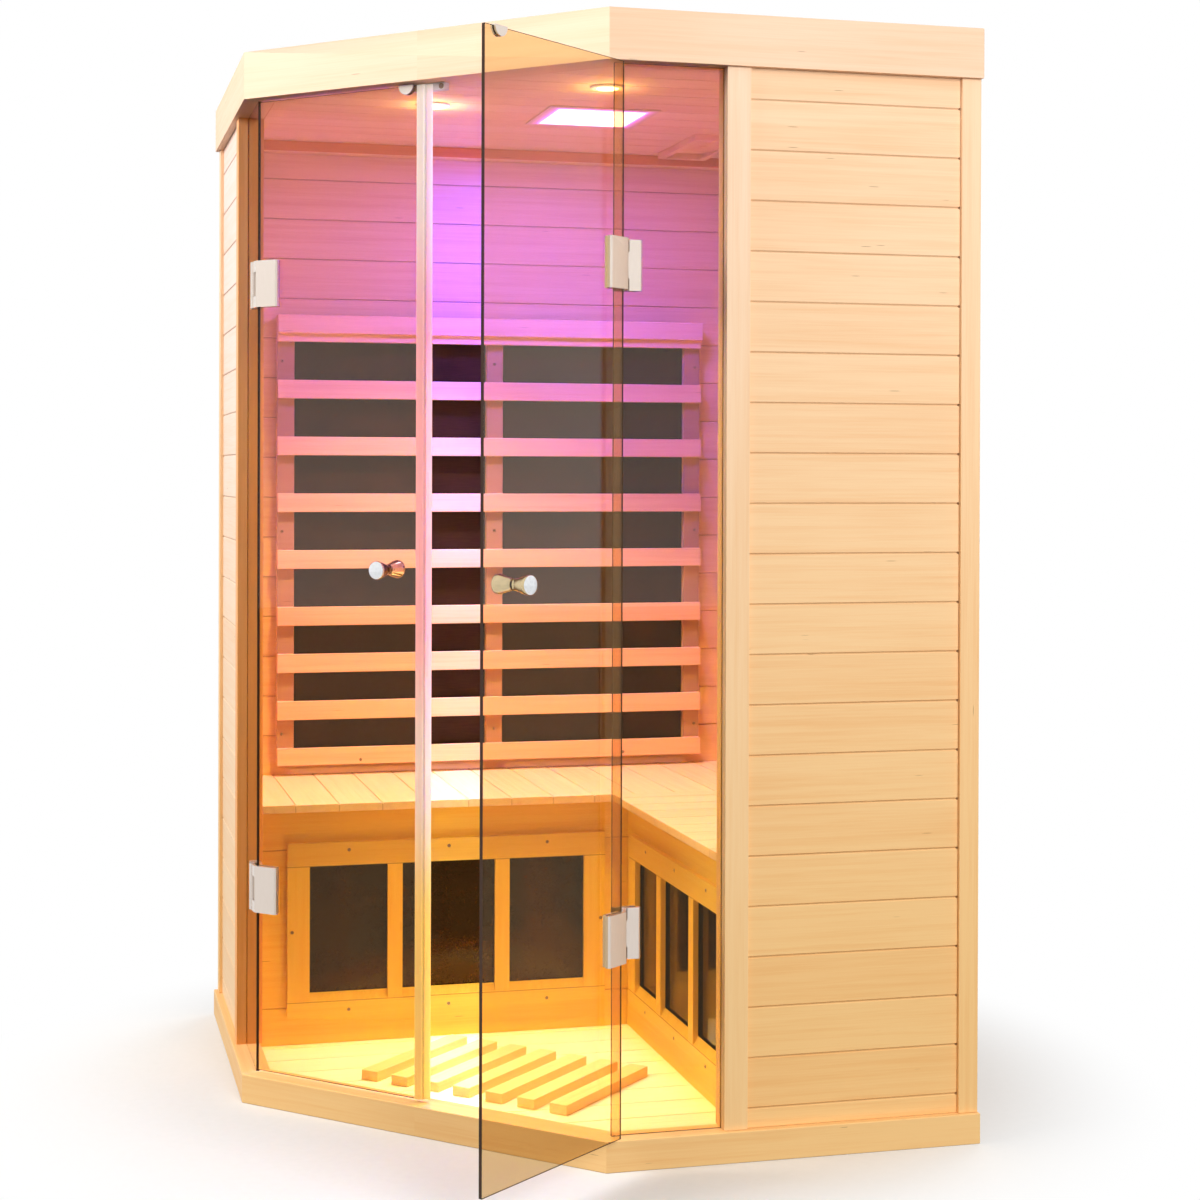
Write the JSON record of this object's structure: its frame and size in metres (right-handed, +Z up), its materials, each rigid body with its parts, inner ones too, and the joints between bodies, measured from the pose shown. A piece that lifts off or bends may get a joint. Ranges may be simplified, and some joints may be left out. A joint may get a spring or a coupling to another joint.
{
  "type": "infrared sauna cabin",
  "caption": "Corner infrared sauna cabin in pale boards with a diagonal front of hinged glass doors, an L-shaped bench, slatted backrests over heater panels and a ceiling light.",
  "frame": {"origin": "middle of the square that the plan is cut from, on the floor under the cabin", "axes": "+Z up; +X and +Y point out of the back walls; the diagonal glass front faces -X and -Y"},
  "size_m": [1.2, 1.4397, 1.9],
  "materials": {
    "hemlock": "planed, untreated",
    "bronze_glass": "tinted, polished",
    "satin_nickel": "satin",
    "chrome": "polished",
    "clear_strip": "translucent",
    "carbon_panel": "matt",
    "calf_panel": "glossy",
    "white_plastic": "satin",
    "lamp_face": "opal",
    "black_plastic": "satin",
    "grey_plastic": "satin"
  },
  "bodies": {
    "cabin": {"base_frame": "hemlock", "cable_gland": "black_plastic", "ceiling_panel": "hemlock", "control_box": "grey_plastic", "door_catch": "white_plastic", "floor_panel": "hemlock", "floor_slat_1": "hemlock", "floor_slat_2": "hemlock", "floor_slat_3": "hemlock", "floor_slat_4": "hemlock", "floor_slat_5": "hemlock", "floor_slat_6": "hemlock", "floor_slat_7": "hemlock", "led_bezel": "white_plastic", "led_diffuser": "lamp_face", "left_back_heater": "carbon_panel", "left_back_wall": "hemlock", "left_backrest": "hemlock", "left_bench_apron": "hemlock", "left_bench_top": "hemlock", "left_calf_frame": "hemlock", "left_calf_heater": "calf_panel", "left_corner_post": "hemlock", "left_glass_post": "hemlock", "left_lower_hinge_leaf": "satin_nickel", "left_side_glass": "bronze_glass", "left_side_wall": "hemlock", "left_spot_light": "white_plastic", "left_upper_hinge_leaf": "satin_nickel", "right_back_heater": "carbon_panel", "right_back_wall": "hemlock", "right_backrest": "hemlock", "right_bench_apron": "hemlock", "right_bench_top": "hemlock", "right_calf_frame": "hemlock", "right_calf_heater": "calf_panel", "right_corner_post": "hemlock", "right_glass_post": "hemlock", "right_lower_hinge_leaf": "satin_nickel", "right_side_glass": "bronze_glass", "right_side_wall": "hemlock", "right_spot_light": "white_plastic", "right_upper_hinge_leaf": "satin_nickel", "roof_cover": "hemlock", "roof_frame": "hemlock", "vent_rails": "hemlock"},
    "left_door": {"left_door_glass": "bronze_glass", "left_door_seal": "clear_strip", "left_inner_knob": "chrome", "left_lower_door_leaf": "satin_nickel", "left_outer_knob": "chrome", "left_strike": "satin_nickel", "left_upper_door_leaf": "satin_nickel"},
    "right_door": {"right_door_glass": "bronze_glass", "right_inner_knob": "chrome", "right_lower_door_leaf": "satin_nickel", "right_outer_knob": "chrome", "right_strike": "satin_nickel", "right_upper_door_leaf": "satin_nickel"},
    "vent_slide": {"vent_slide": "hemlock"}
  },
  "joints": [
    {"name": "left_door_hinge", "type": "hinge", "parent": "cabin", "child": "left_door", "pos_m": [-0.579, -0.0265, 0.93425], "axis": [0, 0, -1], "range_deg": [0, 100]},
    {"name": "right_door_hinge", "type": "hinge", "parent": "cabin", "child": "right_door", "pos_m": [-0.0265, -0.579, 0.93425], "axis": [0, 0, 1], "range_deg": [-85, 15]},
    {"name": "vent_travel", "type": "slide", "parent": "cabin", "child": "vent_slide", "axis": [0, 1, 0], "range_m": [0, 0.083]}
  ]
}
